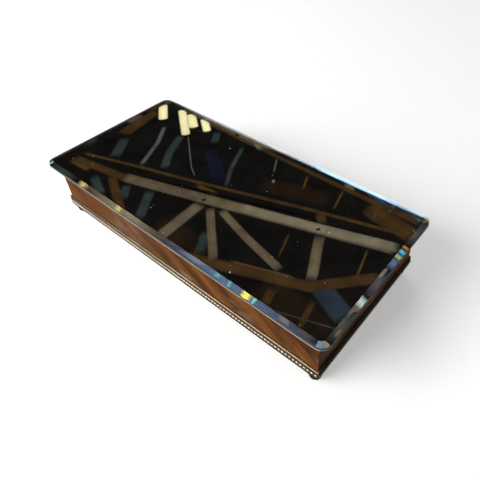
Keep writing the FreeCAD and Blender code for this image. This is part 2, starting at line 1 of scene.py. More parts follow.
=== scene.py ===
# %% [markdown]
# # A vanity trinket box with a mirror lid
# A low case of figured veneer has a beaded brass moulding round its base, four ball feet, and a
# lid made of a bevelled plate mirror. Each step of this lesson says what a piece is on the real
# object, how it could be made in Blender, and why this way was chosen.
#
# The frame is the engineering model, in metres, and places and sizes are read from it.

# %% Load the frame
import math

import bmesh
import bpy
from mathutils import Matrix, Vector


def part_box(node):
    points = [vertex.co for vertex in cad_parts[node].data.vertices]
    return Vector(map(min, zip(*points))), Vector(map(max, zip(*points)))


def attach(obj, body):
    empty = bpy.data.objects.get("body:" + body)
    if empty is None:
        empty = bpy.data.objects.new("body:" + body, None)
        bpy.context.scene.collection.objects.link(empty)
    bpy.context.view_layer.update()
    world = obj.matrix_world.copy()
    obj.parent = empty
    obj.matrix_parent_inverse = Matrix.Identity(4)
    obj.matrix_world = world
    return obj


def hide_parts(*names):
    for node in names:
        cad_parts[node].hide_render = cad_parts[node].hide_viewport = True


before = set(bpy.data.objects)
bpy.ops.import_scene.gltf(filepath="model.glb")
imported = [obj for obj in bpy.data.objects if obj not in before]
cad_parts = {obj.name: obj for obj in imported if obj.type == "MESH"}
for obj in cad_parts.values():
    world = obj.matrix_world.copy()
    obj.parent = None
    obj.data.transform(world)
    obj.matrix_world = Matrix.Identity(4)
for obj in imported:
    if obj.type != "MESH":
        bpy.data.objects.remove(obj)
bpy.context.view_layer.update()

MM = 0.001
SIDES = {"front": 0, "right": 90, "rear": 180, "left": 270}
CORNERS = ("front_left", "front_right", "rear_left", "rear_right")

# %% [markdown]
# Materials here are small node trees. The helpers add a node and fill its inputs, start a
# material, and make the patterns that every finish shares. A value that is the same all over a
# surface goes straight on the shader's own socket. Patterns read Object coordinates, and the size
# of their cells is given in millimetres.


# %% Helpers for materials
def assign(thing, **settings):
    """Set several properties of one thing."""
    for name, setting in settings.items():
        setattr(thing, name, setting)
    return thing


def plug(tree, node, name, given):
    """Link a socket to an input, or set the input's value."""
    if isinstance(given, bpy.types.NodeSocket):
        tree.links.new(given, node.inputs[name])
    else:
        node.inputs[name].default_value = given


def add_node(tree, kind, inputs=None, **settings):
    """Add a node, apply its settings, and fill its inputs. A short kind is a shader node."""
    node = assign(tree.nodes.new(kind if "Node" in kind else f"ShaderNode{kind}"), **settings)
    for name, given in (inputs or {}).items():
        plug(tree, node, name, given)
    return node


def sent(tree, kind, inputs, **settings):
    """The first output of a new node."""
    return add_node(tree, kind, inputs, **settings).outputs[0]


def new_material(name, constants):
    """A Principled material with its constant inputs set on the shader."""
    material = bpy.data.materials.new(name)
    material.use_nodes = True
    tree = material.node_tree
    shader = tree.nodes["Principled BSDF"]
    for socket, constant in constants.items():
        shader.inputs[socket].default_value = constant
    return material, tree, shader


def object_place(tree):
    return add_node(tree, "TexCoord").outputs["Object"]


def upward(tree):
    """How far a face points up in the piece's own coordinates, from -1 to 1."""
    normal = add_node(tree, "TexCoord").outputs["Normal"]
    return add_node(tree, "SeparateXYZ", {0: normal}).outputs["Z"]


def cells(tree, place, size, turn=(0, 0, 0), shift=(0, 0, 0)):
    """A place measured in cells of a size in millimetres, turned by degrees."""
    sizes = size if isinstance(size, tuple) else (size,) * 3
    inputs = {"Vector": place, "Location": [step * MM for step in shift],
              "Rotation": [math.radians(angle) for angle in turn],
              "Scale": [edge * MM for edge in sizes]}
    return sent(tree, "Mapping", inputs, vector_type="TEXTURE")


def noise(tree, vector, detail=3.0, roughness=0.5, distortion=0.0):
    inputs = {"Vector": vector, "Scale": 1.0, "Detail": detail, "Roughness": roughness,
              "Distortion": distortion}
    return sent(tree, "TexNoise", inputs)


def patches(tree, size, turn=(0, 0, 0), shift=(0, 0, 0), **more):
    """Noise on the object, in cells of a size in millimetres."""
    return noise(tree, cells(tree, object_place(tree), size, turn, shift), **more)


def span(tree, given, low, high, to_low=0.0, to_high=1.0):
    """Stretch a number from one range to another, held at both ends."""
    inputs = {"Value": given, "From Min": low, "From Max": high, "To Min": to_low, "To Max": to_high}
    return sent(tree, "MapRange", inputs)


def maths(tree, operation, first, second=0.5):
    return sent(tree, "Math", {0: first, 1: second}, operation=operation)


def times(tree, first, second):
    return maths(tree, "MULTIPLY", first, second)


def weighed(tree, first, first_share, second, second_share):
    return maths(tree, "ADD", times(tree, first, first_share), times(tree, second, second_share))


def ramp(tree, given, stops):
    """Colours along a number from 0 to 1."""
    node = add_node(tree, "ValToRGB", {"Fac": given})
    elements = node.color_ramp.elements
    while len(elements) < len(stops):
        elements.new(0.5)
    for element, (position, colour) in zip(elements, stops):
        element.position = position
        element.color = (*colour, 1)
    return node.outputs["Color"]


def blend_colours(tree, share, first, second, blend_type="MIX"):
    node = add_node(tree, "Mix", data_type="RGBA", blend_type=blend_type)
    for index, given in ((0, share), (6, first), (7, second)):
        if isinstance(given, tuple):
            given = (*given, 1)
        plug(tree, node, index, given)
    return node.outputs[2]


def bump(tree, height, depth, strength=1.0):
    inputs = {"Height": height, "Distance": depth, "Strength": strength}
    return sent(tree, "Bump", inputs)


def finish_shader(tree, shader, colour=None, roughness=None, normal=None):
    for name, given in (("Base Color", colour), ("Roughness", roughness), ("Normal", normal)):
        if given is not None:
            plug(tree, shader, name, given)


print("helpers ready")

# %% [markdown]
# A piece made here is a mesh whose place is in its points, with its object at the origin. It
# rides on a body, names its finish, and says which plain CAD solid it stands for. Edges sharper
# than a set angle stay crisp, and the rest are shaded smooth.


# %% Helpers for pieces
def shade(mesh, crease):
    """Smooth shading, with edges sharper than an angle in degrees left crisp."""
    for polygon in mesh.polygons:
        polygon.use_smooth = True
    mesh.set_sharp_from_angle(angle=math.radians(crease))


def new_object(name, data):
    """An object in the scene."""
    made = bpy.data.objects.new(name, data)
    bpy.context.scene.collection.objects.link(made)
    return made


def make_piece(name, mesh, body, materials, stands_for=()):
    """Turn a mesh into a named piece of the object."""
    mesh.name = name
    if not mesh.materials:
        for material in materials:
            mesh.materials.append(material)
    piece = new_object(name, mesh)
    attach(piece, body)
    if stands_for:
        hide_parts(*stands_for)
    return piece


def mesh_of(points, faces, wear=None):
    """A mesh from points and faces, its normals turned outwards, with wear on its points."""
    mesh = bpy.data.meshes.new("made")
    mesh.from_pydata([tuple(point) for point in points], [], faces)
    if wear is not None:
        mesh.attributes.new("wear", "FLOAT", "POINT").data.foreach_set("value", wear)
    work = bmesh.new()
    work.from_mesh(mesh)
    bmesh.ops.recalc_face_normals(work, faces=work.faces)
    work.to_mesh(mesh)
    work.free()
    return mesh


def between(below, above, count):
    """Faces between two rings of points, given the first point of each."""
    return [[below + n, below + (n + 1) % count, above + (n + 1) % count, above + n]
            for n in range(count)]


def grid_faces(wide, tall, base=0):
    """Faces of a grid of points laid row by row."""
    corners = [base + wide * row + column for row in range(tall - 1) for column in range(wide - 1)]
    return [[corner, corner + 1, corner + wide + 1, corner + wide] for corner in corners]


def repaint(nodes, material):
    """Give CAD nodes a better material."""
    for name in nodes:
        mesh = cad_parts[name].data
        mesh.materials.clear()
        mesh.materials.append(material)


def arc(centre, radius, start, end, steps):
    """Points along an arc, in degrees."""
    turns = [math.radians(start + (end - start) * step / steps) for step in range(steps + 1)]
    return [(centre[0] + radius * math.cos(t), centre[1] + radius * math.sin(t)) for t in turns]


print("piece helpers ready")

# %% [markdown]
# ## The plate mirror
# The lid is 5 mm plate glass, silvered on its back. Its top edge has a wide polished bevel, its
# corners are round, and its lower edge is ground dull. A box with two bevel modifiers would not
# keep the corners concentric, so the glass is lofted: the same rounded rectangle is repeated at
# each level, drawn in by the bevel's width, and the rings are joined.

# %% Glass by rings
GLASS_CORNER = 9.0 * MM
BEVEL_WIDTH = 5.0 * MM
BEVEL_DROP = 1.0 * MM
GROUND_EDGE = 0.6 * MM
GROUND_BAND = 0.9 * MM
SILVER_GAP = 0.02 * MM
CORNER_STEPS = 16


def rounded_ring(high, radius, inset, level):
    """A level ring about the middle: a rectangle with round corners, drawn in by an inset."""
    ring = []
    for quarter, (sx, sy) in enumerate(((1, 1), (-1, 1), (-1, -1), (1, -1))):
        centre = (sx * (high.x - radius), sy * (high.y - radius))
        ring += arc(centre, radius - inset, 90 * quarter, 90 * quarter + 90, CORNER_STEPS)
    return [(x, y, level) for x, y in ring]


def stack_rings(rings):
    """Faces between rings, and a lid on the first and the last."""
    count = len(rings[0])
    last = (len(rings) - 1) * count
    faces = [list(range(count))]
    for below in range(0, last, count):
        faces += between(below, below + count, count)
    return faces + [list(range(last, last + count))]


def glass_mesh():
    low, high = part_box("mirror_plate")
    ground_top = low.z + GROUND_EDGE + GROUND_BAND
    steps = [(GROUND_EDGE, low.z + SILVER_GAP), (0.0, low.z + GROUND_EDGE), (0.0, ground_top),
             (0.0, high.z - BEVEL_DROP), (BEVEL_WIDTH, high.z)]
    rings = [rounded_ring(high, GLASS_CORNER, inset, level) for inset, level in steps]
    mesh = mesh_of([point for ring in rings for point in ring], stack_rings(rings))
    shade(mesh, crease=8)
    for polygon in mesh.polygons:
        upright, low_down = abs(polygon.normal.z) < 0.9, polygon.center.z < ground_top
        if upright and polygon.center.z < high.z - BEVEL_DROP:
            polygon.material_index = 1 if low_down else 2
    return mesh


plate = glass_mesh()
print("glass mesh:", len(plate.polygons), "faces")

# %% [markdown]
# The glass is real glass to the renderer: light goes in through the face or the bevel, meets the
# silvering, and comes out again. That doubles each speck of dust, as on the real mirror. Dust is
# a speckle pattern that is rough and white instead of clear. The edge is the same glass, smoothed
# but not polished, and its lowest part is ground rough, which shows as a thin pale line.


# %% Glass materials
EMPTY_SHARE = 0.62
GLASS_IOR = 1.52


def dust_mask(tree, cell, size, seed):
    """Round specks scattered at random: 1 in a speck, 0 elsewhere."""
    place = cells(tree, object_place(tree), cell, shift=(seed, seed, 0))
    spots = add_node(tree, "TexVoronoi", {"Vector": place, "Scale": 1.0, "Randomness": 1.0})
    chance = sent(tree, "SeparateColor", {0: spots.outputs["Color"]})
    chosen = span(tree, chance, EMPTY_SHARE, 1.0, 0.0, size)
    return maths(tree, "LESS_THAN", spots.outputs["Distance"], chosen)


def plate_glass():
    material, tree, shader = new_material("plate_glass", {"IOR": GLASS_IOR, "Roughness": 0.0})
    on_face = span(tree, upward(tree), 0.9, 0.99)
    specks = maths(tree, "MAXIMUM", dust_mask(tree, 15, 0.042, 3), dust_mask(tree, 7, 0.06, 17))
    dust = times(tree, specks, on_face)
    plug(tree, shader, "Transmission Weight", span(tree, dust, 0.0, 1.0, 1.0, 0.25))
    smear = patches(tree, (70, 26, 30), turn=(0, 0, 24), detail=5)
    film = times(tree, span(tree, smear, 0.52, 0.8, 0.0, 0.03), on_face)
    colour = blend_colours(tree, dust, (0.93, 0.975, 0.95), (0.9, 0.9, 0.88))
    rough = maths(tree, "MAXIMUM", film, times(tree, dust, 0.8))
    finish_shader(tree, shader, colour, rough)
    return material


def ground_glass():
    material, tree, shader = new_material("ground_glass", {
        "IOR": GLASS_IOR, "Transmission Weight": 0.25})
    grit = patches(tree, 0.5, detail=2)
    colour = ramp(tree, grit, [(0.3, (0.66, 0.56, 0.38)), (0.7, (0.95, 0.84, 0.62))])
    rough = span(tree, grit, 0.2, 0.8, 0.45, 0.7)
    finish_shader(tree, shader, colour, rough, bump(tree, grit, 0.05 * MM))
    return material


def smoothed_glass():
    material, tree, shader = new_material("smoothed_glass", {
        "IOR": GLASS_IOR, "Transmission Weight": 0.45})
    grit = patches(tree, (6, 6, 1.2), detail=3)
    colour = ramp(tree, grit, [(0.3, (0.08, 0.11, 0.16)), (0.7, (0.16, 0.2, 0.28))])
    finish_shader(tree, shader, colour, span(tree, grit, 0.2, 0.8, 0.25, 0.4))
    return material


mirror_plate = make_piece("mirror_glass", plate, "lid",
                          [plate_glass(), ground_glass(), smoothed_glass()], ["mirror_plate"])
print("glass:", [material.name for material in plate.materials])

# %% [markdown]
# The silvering is a film with paint behind it. It is flat, so the CAD solid keeps its shape and
# only needs a finish: bright metal towards the glass, brown paint on the back, and a little
# darkening at the edges, where damp gets in. The pattern asks which way the face points in the
# piece's own coordinates, so it holds when the lid is open.


# %% Silvering
def silvering():
    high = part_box("mirror_silvering")[1]
    material, tree, shader = new_material("silvering", {})
    bright = span(tree, upward(tree), 0.4, 0.6)
    place = add_node(tree, "SeparateXYZ", {0: object_place(tree)}).outputs
    margin = maths(tree, "MINIMUM", *(
        maths(tree, "SUBTRACT", reach, maths(tree, "ABSOLUTE", place[axis], 0))
        for axis, reach in (("X", high.x), ("Y", high.y))))
    blots = patches(tree, 9, detail=6, roughness=0.65)
    reach = times(tree, span(tree, blots, 0.45, 0.75), 3.0 * MM)
    fox = maths(tree, "LESS_THAN", margin, reach)
    metal = blend_colours(tree, times(tree, fox, 0.55), (0.9, 0.905, 0.89), (0.2, 0.17, 0.13))
    colour = blend_colours(tree, bright, (0.07, 0.045, 0.035), metal)
    plug(tree, shader, "Metallic", bright)
    rough = span(tree, bright, 0.0, 1.0, 0.6, 0.0)
    rough = maths(tree, "MAXIMUM", rough, times(tree, fox, 0.2))
    finish_shader(tree, shader, colour, rough)
    return material


repaint(["mirror_silvering"], silvering())
print("silvering done")

# %% [markdown]
# ## The veneered case
# Each side is a sheet of veneer whose figure runs down across it at a slant, under an old polish.
# Its life is in its colour, so the flat CAD sheet keeps its shape. The pattern is stretched noise
# in the sheet's own plane: broad stripes, finer streaks, dark pores, and then the scuffed polish.
# The grain slants the same way on every side, so it runs round the box as one set of sheets.

# %% Veneer
GRAIN_SLANT = 35.0
RUBBED_AT = -62 * MM
RUBBED_REACH = 62 * MM


def veneer(side):
    """Figured veneer, with its grain slanting down across one side."""
    turn = (0, GRAIN_SLANT, SIDES[side])
    material, tree, shader = new_material(f"{side}_veneer", {
        "Coat Weight": 0.55, "Coat Roughness": 0.13, "Coat IOR": 1.5, "Specular IOR Level": 0.35})
    sway = times(tree, maths(tree, "SUBTRACT", patches(tree, 60, detail=1)), 14 * MM)
    place = object_place(tree)
    swayed = sent(tree, "VectorMath", {0: place, 1: sway}, operation="ADD")

    def grain(along, across, **more):
        return noise(tree, cells(tree, swayed, (along, across, across), turn), **more)

    stripes = grain(210, 17, detail=2, roughness=0.45)
    streaks = grain(80, 2.6, detail=4, roughness=0.6)
    fibres = grain(26, 0.45, detail=3, roughness=0.6)
    figure = weighed(tree, stripes, 0.62, streaks, 0.38)
    colour = ramp(tree, figure, [
        (0.35, (0.045, 0.015, 0.004)), (0.44, (0.13, 0.042, 0.009)), (0.52, (0.22, 0.075, 0.014)),
        (0.62, (0.37, 0.142, 0.026))])
    colour = blend_colours(tree, 0.75, colour, ramp(tree, fibres, [
        (0.32, (0.42, 0.36, 0.3)), (0.66, (1.0, 1.0, 1.0))]), "MULTIPLY")
    pores = span(tree, grain(9, 0.4, detail=1), 0.62, 0.68)
    colour = blend_colours(tree, times(tree, pores, 0.6), colour, (0.03, 0.012, 0.006))
    scuff = patches(tree, (48, 48, 16), shift=(9, 0, 0), detail=6, roughness=0.62)
    worn = span(tree, scuff, 0.56, 0.74)
    here = add_node(tree, "SeparateXYZ", {0: place}).outputs["X"]
    nearness = span(tree, maths(tree, "ABSOLUTE", maths(tree, "SUBTRACT", here, RUBBED_AT), 0),
                    0.0, RUBBED_REACH, 1.0, 0.0)
    scratches = span(tree, grain(7, 0.8, detail=3, roughness=0.75), 0.54, 0.62)
    worn = maths(tree, "MAXIMUM", worn, times(tree, scratches, nearness))
    colour = blend_colours(tree, times(tree, worn, 0.45), colour, (0.5, 0.4, 0.33))
    rough = span(tree, worn, 0.0, 1.0, 0.36, 0.6)
    finish_shader(tree, shader, colour, rough, bump(tree, fibres, 0.03 * MM, 0.6))
    return material


for side in SIDES:
    repaint([f"{side}_veneer"], veneer(side))
print("veneer on", len(SIDES), "sides")

# %% [markdown]
# The walls behind the veneer show only on the rim, and the boards less still. They are solid
# timber with straight grain along each piece, from one function given two colours.


# %% Solid timber
def timber(name, turn, dark, light, gloss=0.5):
    """Straight-grained wood, its grain along the turned X axis."""
    material, tree, shader = new_material(name, {"Specular IOR Level": gloss})
    rings = patches(tree, (160, 5, 5), turn, detail=4, distortion=0.4)
    fibres = patches(tree, (22, 0.4, 0.4), turn, detail=3)
    figure = weighed(tree, rings, 0.6, fibres, 0.4)
    colour = ramp(tree, figure, [(0.36, dark), (0.62, light)])
    finish_shader(tree, shader, colour, span(tree, fibres, 0.3, 0.7, 0.5, 0.68),
                  bump(tree, fibres, 0.06 * MM, 0.7))
    return material


WALNUT = ((0.06, 0.026, 0.011), (0.21, 0.1, 0.045))
BOARD = ((0.21, 0.12, 0.055), (0.38, 0.24, 0.12))
for side, angle in SIDES.items():
    repaint([f"{side}_wall"], timber(f"{side}_wall_wood", (0, 0, angle), *WALNUT))
repaint(["bottom_board", "lid_board"], timber("board_wood", (0, 0, 0), *BOARD, gloss=0.3))
print("timber on the walls and boards")

# %% [markdown]
# ## Brass
# All the brass has gone brown, and hands and dusters keep its high points bright. One function
# makes every brass finish from an attribute called wear, which each mesh carries on its points:
# 0 in a groove, 1 on a crest. On the moulding, the plain face under the beads is also kept low,
# which paints shade there as well as patina. CAD nodes have none, so the hinges leave wear out.


# %% Brass materials
def brass(name, patina, metal, worn_at=0.5, rough=(0.24, 0.55), carries_wear=True):
    """Brass between its patina and its bright metal."""
    material, tree, shader = new_material(name, {"Specular IOR Level": 0.4})
    mottle = patches(tree, 3.5, detail=6, roughness=0.65)
    broad = patches(tree, 40, detail=2)
    cloud = weighed(tree, mottle, 0.5, broad, 0.5)
    if carries_wear:
        wear = add_node(tree, "Attribute", attribute_name="wear").outputs["Fac"]
        cloud = weighed(tree, cloud, 0.5, wear, 0.6)
    rubbed = span(tree, cloud, worn_at - 0.2, worn_at + 0.16)
    fine = patches(tree, 0.5, detail=3)
    plug(tree, shader, "Metallic", span(tree, rubbed, 0.0, 1.0, 0.35, 1.0))
    finish_shader(tree, shader, blend_colours(tree, rubbed, patina, metal),
                  span(tree, rubbed, 0.0, 1.0, rough[1], rough[0]), bump(tree, fine, 0.02 * MM, 0.5))
    return material


moulding_brass = brass("moulding_brass", (0.07, 0.045, 0.03), (0.5, 0.37, 0.22), worn_at=0.68)
bead_brass = brass("bead_brass", (0.07, 0.045, 0.027), (0.95, 0.82, 0.6), worn_at=0.52,
                   rough=(0.28, 0.5))
foot_brass = brass("foot_brass", (0.022, 0.014, 0.01), (0.3, 0.2, 0.1), worn_at=0.66, rough=(0.3, 0.5))
hinge_brass = brass("hinge_brass", (0.2, 0.13, 0.06), (0.62, 0.46, 0.23), worn_at=0.5,
                    carries_wear=False)
screw_brass = brass("screw_brass", (0.3, 0.21, 0.1), (0.75, 0.58, 0.32), worn_at=0.48,
                    carries_wear=False)
print("brass finishes made")

# %% [markdown]
# The base moulding is drawn brass strip, mitred at the corners. Its section has a rounded fillet
# on top, a cove under it, a round seat for the beaded wire, and a plain foot. The section is
# drawn once as distance out and height, and each point is carried to both mitres, where it lands
# as far along as it stands out. One function makes all four sides.

# %% Base moulding
BEAD_SLACK = 0.12 * MM
FILLET_HEIGHT = 1.1 * MM
FILLET_EASE = 0.4 * MM
COVE_HEIGHT = 2.0 * MM
COVE_DEPTH = 0.8 * MM
FOOT_EASE = 0.4 * MM


def side_measures(side):
    """Half the run of a side over the veneer, and how far out its face stands."""
    long_side = side in ("front", "rear")
    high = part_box("front_veneer")[1]
    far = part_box("rear_veneer")[1]
    return (high.x, far.y) if long_side else (far.y, high.x)


def moulding_section():
    """The section, as (distance out from the veneer, height, wear). Low wear on the plain face under
    the beads is patina and painted shade.
    """
    low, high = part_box("rear_band")
    bead_low, bead_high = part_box("rear_beading")
    proud = high.y - low.y
    seat_level = (bead_low.z + bead_high.z) / 2
    seat = (bead_high.z - bead_low.z) / 2 + BEAD_SLACK
    cove_top = high.z - FILLET_HEIGHT
    cove_radius = ((COVE_HEIGHT / 2) ** 2 + COVE_DEPTH ** 2) / (2 * COVE_DEPTH)
    cove_centre = (proud - COVE_DEPTH + cove_radius, cove_top - COVE_HEIGHT / 2)
    cove_turn = math.degrees(math.asin(COVE_HEIGHT / 2 / cove_radius))
    crown = (proud - FILLET_EASE, high.z - FILLET_EASE)
    # The plain foot face below the beads gets low wear, 0.4 at its eased corner to 0.1 under the seat:
    # patina, and painted shade under the bead row.
    points = [(0.0, low.z, 0.0), (proud - FOOT_EASE, low.z, 0.15)]
    points += [(proud, low.z + FOOT_EASE, 0.4), (proud, seat_level - seat - 0.2 * MM, 0.1)]
    points += [(*p, 0.0) for p in arc((proud, seat_level), seat, 270, 90, 10)]
    points += [(proud, seat_level + seat + 0.15 * MM, 0.3)]
    cove = arc(cove_centre, cove_radius, 180 + cove_turn, 180 - cove_turn, 8)
    points += [(*p, 0.35 if p in (cove[0], cove[-1]) else 0.0) for p in cove]
    points += [(proud, cove_top + 0.2 * MM, 0.3)]
    top_edge = arc(crown, FILLET_EASE, 0, 90, 5)
    points += [(*p, worn) for p, worn in zip(top_edge, (0.4, 0.8, 1.0, 1.0, 0.7, 0.3))]
    points += [(proud - 2 * FILLET_EASE, high.z, 0.0), (0.0, high.z, 0.0)]
    return points


def turned(mesh, side):
    """Turn a mesh built for the front to its own side."""
    mesh.transform(Matrix.Rotation(math.radians(SIDES[side]), 4, "Z"))
    return mesh


def moulding_mesh(side):
    half_run, face = side_measures(side)
    section = moulding_section()
    count = len(section)
    points = []
    for end in (-1, 1):
        points += [(end * (half_run + out), -(face + out), height) for out, height, _ in section]
    faces = [list(range(count)), list(range(count, 2 * count)), *between(0, count, count)]
    mesh = mesh_of(points, faces, [wear for _, _, wear in section] * 2)
    shade(mesh, crease=50)
    return turned(mesh, side)


for side in SIDES:
    make_piece(f"{side}_moulding", moulding_mesh(side), "case", [moulding_brass],
               [f"{side}_band"])
print("moulding section:", len(moulding_section()), "points")

# %% [markdown]
# The beaded wire is hundreds of the same small bead, which is what Geometry Nodes are for. The
# tree puts a slightly slanted oval bead on each point of a line, runs a thin core through them,
# and turns the instances into real mesh. Wear is stored on the bead before it is copied, from how
# far each point faces outwards, so every bead is bright in front and dark between.

# %% Beaded wire
BEAD_PITCH = 3.65 * MM
BEAD_SLANT = 14.0
BEAD_FILL = 0.53
CORE_SHARE = 0.55


def beading_tree(radius):
    """Beads of one radius along +X from a start, outwards being -Y."""
    tree = bpy.data.node_groups.new("beaded_wire", "GeometryNodeTree")
    sockets = (("Geometry", "Geometry"), ("Start", "Vector"), ("Pitch", "Float"), ("Count", "Int"),
               ("Bead Length", "Float"))
    for name, kind in sockets:
        tree.interface.new_socket(name, in_out="INPUT", socket_type=f"NodeSocket{kind}")
    tree.interface.new_socket("Geometry", in_out="OUTPUT", socket_type="NodeSocketGeometry")
    given = add_node(tree, "NodeGroupInput").outputs

    def vector(x, y, z):
        return sent(tree, "CombineXYZ", {"X": x, "Y": y, "Z": z})

    def step(kind, inputs):
        return sent(tree, f"GeometryNode{kind}", inputs)

    line = step("MeshLine", {"Count": given["Count"], "Start Location": given["Start"],
                             "Offset": vector(given["Pitch"], 0.0, 0.0)})
    bead = step("MeshUVSphere", {"Segments": 10, "Rings": 7, "Radius": 1.0})
    place = sent(tree, "GeometryNodeInputPosition", {})
    outward = times(tree, add_node(tree, "SeparateXYZ", {0: place}).outputs["Y"], -1.0)
    marked = step("StoreNamedAttribute", {"Geometry": bead, "Name": "wear", "Value": outward})
    oval = step("Transform", {"Geometry": marked,
                              "Scale": vector(given["Bead Length"], radius, radius)})
    beads = step("InstanceOnPoints", {"Points": line, "Instance": oval,
                                      "Rotation": vector(0.0, math.radians(BEAD_SLANT), 0.0)})
    run = times(tree, given["Pitch"], maths(tree, "SUBTRACT", given["Count"], 1.0))
    end = sent(tree, "VectorMath", {0: given["Start"], 1: vector(run, 0.0, 0.0)}, operation="ADD")
    path = step("CurvePrimitiveLine", {"Start": given["Start"], "End": end})
    section = step("CurvePrimitiveCircle", {"Resolution": 8, "Radius": radius * CORE_SHARE})
    core = step("CurveToMesh", {"Curve": path, "Profile Curve": section, "Fill Caps": True})
    joined = add_node(tree, "GeometryNodeJoinGeometry")
    for part in (core, beads):
        tree.links.new(part, joined.inputs[0])
    real = step("RealizeInstances", {"Geometry": joined.outputs[0]})
    smooth = step("SetShadeSmooth", {"Geometry": real})
    painted = step("SetMaterial", {"Geometry": smooth, "Material": bead_brass})
    add_node(tree, "NodeGroupOutput", {"Geometry": painted})
    return tree


def run_tree(tree, values):
    """Run a tree on an empty mesh and keep the result as plain mesh."""
    carrier = new_object("carrier", bpy.data.meshes.new("carrier"))
    modifier = carrier.modifiers.new("tree", "NODES")
    modifier.node_group = tree
    for socket in tree.interface.items_tree:
        if socket.in_out == "INPUT" and socket.name in values:
            modifier[socket.identifier] = values[socket.name]
    graph = bpy.context.evaluated_depsgraph_get()
    graph.update()
    mesh = bpy.data.meshes.new_from_object(carrier.evaluated_get(graph))
    carrier.modifiers.remove(modifier)
    bpy.data.objects.remove(carrier)
    return mesh


bead_low, bead_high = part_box("rear_beading")
bead_radius = (bead_high.z - bead_low.z) / 2
bead_tree = beading_tree(bead_radius)
bead_out = bead_high.y - bead_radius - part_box("rear_veneer")[1].y
for side in SIDES:
    half_run, face = side_measures(side)
    reach = half_run + bead_out
    count = round(2 * reach / BEAD_PITCH)
    pitch = 2 * reach / count
    start = Vector((pitch / 2 - reach, -(face + bead_out), (bead_low.z + bead_high.z) / 2))
    beads = run_tree(bead_tree, {
        "Start": start, "Pitch": pitch, "Count": count, "Bead Length": pitch * BEAD_FILL})
    make_piece(f"{side}_beads", turned(beads, side), "case", [bead_brass],
               [f"{side}_beading"])
    print(side, "beads:", count, "pitch", round(pitch / MM, 2), "mm")

# %% [markdown]
# ## Feet
# A ball foot is turned on a lathe: a ball with a worn flat under it, a sunk neck, and a round
# collar that meets the case. Building the rings of points directly keeps the poles closed and
# lets each ring carry its wear: bright round the ball's middle, dark at the neck.

# %% Ball feet
LATHE_STEPS = 40
BALL_RADIUS = 5.7 * MM
NECK_RADIUS = 4.0 * MM
COLLAR_RADIUS = 6.0 * MM
COLLAR_HEIGHT = 1.6 * MM
STUD_RADIUS = 1.2 * MM
FLAT_RADIUS = 2.5 * MM


def foot_profile(case_level, top):
    """Radius, height and wear up the foot, from the flat to the end of the stud."""
    middle = math.sqrt(BALL_RADIUS ** 2 - FLAT_RADIUS ** 2)
    start = math.degrees(math.asin(-middle / BALL_RADIUS))
    neck_turn = math.degrees(math.acos(NECK_RADIUS / BALL_RADIUS))
    profile = [(0.0, 0.0, 0.2)]
    for radius, height in arc((0.0, middle), BALL_RADIUS, start, neck_turn, 22):
        wear = 0.85 - 1.1 * abs(height - middle * 1.25) / BALL_RADIUS
        profile.append((radius, height, max(0.0, wear)))
    profile += [(NECK_RADIUS, profile[-1][1] + 0.1 * MM, 0.0)]
    round_over = COLLAR_HEIGHT / 2
    collar = arc((COLLAR_RADIUS - round_over, case_level - round_over), round_over, -90, 90, 8)
    profile += [(radius, height, 0.5) for radius, height in collar]
    profile += [(STUD_RADIUS, case_level, 0.0), (STUD_RADIUS, top, 0.0), (0.0, top, 0.0)]
    return profile


def lathe(profile, centre):
    """Spin a profile about an upright axis, closed at both poles."""
    points, wear, faces = [], [], []
    for radius, height, worn in profile:
        steps = LATHE_STEPS if radius > 0 else 1
        for step in range(steps):
            turn = 2 * math.pi * step / LATHE_STEPS
            points.append((centre.x + radius * math.cos(turn),
                           centre.y + radius * math.sin(turn), height))
            wear.append(worn)
    last = len(points) - 1
    top_ring = last - LATHE_STEPS
    for below in range(1, top_ring, LATHE_STEPS):
        faces += between(below, below + LATHE_STEPS, LATHE_STEPS)
    for step in range(LATHE_STEPS):
        after = (step + 1) % LATHE_STEPS
        faces.append([0, 1 + after, 1 + step])
        faces.append([top_ring + step, top_ring + after, last])
    return mesh_of(points, faces, wear)


for corner in CORNERS:
    low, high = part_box(f"foot_{corner}")
    case_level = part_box("front_wall")[0].z
    foot = lathe(foot_profile(case_level, high.z), (low + high) / 2)
    shade(foot, crease=40)
    make_piece(f"ball_foot_{corner}", foot, "case", [foot_brass], [f"foot_{corner}"])
print("feet:", len(CORNERS), "of", len(foot.polygons), "faces")

# %% [markdown]
# The hinges, their pins and their screws have their true shapes in the frame already, with every
# clearance, so they only need metal.

# %% Hinges, pins and screws
repaint([f"hinge_{leaf}_leaf_{hand}" for leaf in ("case", "lid") for hand in ("left", "right")],
        hinge_brass)
repaint(["hinge_case_screws", "hinge_lid_screws"], screw_brass)


def pin_steel():
    material, tree, shader = new_material("pin_steel", {"Metallic": 1.0})
    drawn = patches(tree, (0.2, 2, 2), detail=3)
    colour = ramp(tree, drawn, [(0.3, (0.3, 0.29, 0.27)), (0.7, (0.52, 0.5, 0.47))])
    finish_shader(tree, shader, colour, span(tree, drawn, 0.3, 0.7, 0.3, 0.45))
    return material


repaint(["hinge_pin_left", "hinge_pin_right"], pin_steel())
print("hinges painted")

# %% [markdown]
# ## The lining
# Inside, velvet is stretched over card on the walls, and over wadding on the floor and under the
# lid. Velvet is dark face on and pale at its edges, because the pile stands up: that is the sheen
# of the shader. A slow noise stands for stroked patches, and a very fine bump for the tufts.


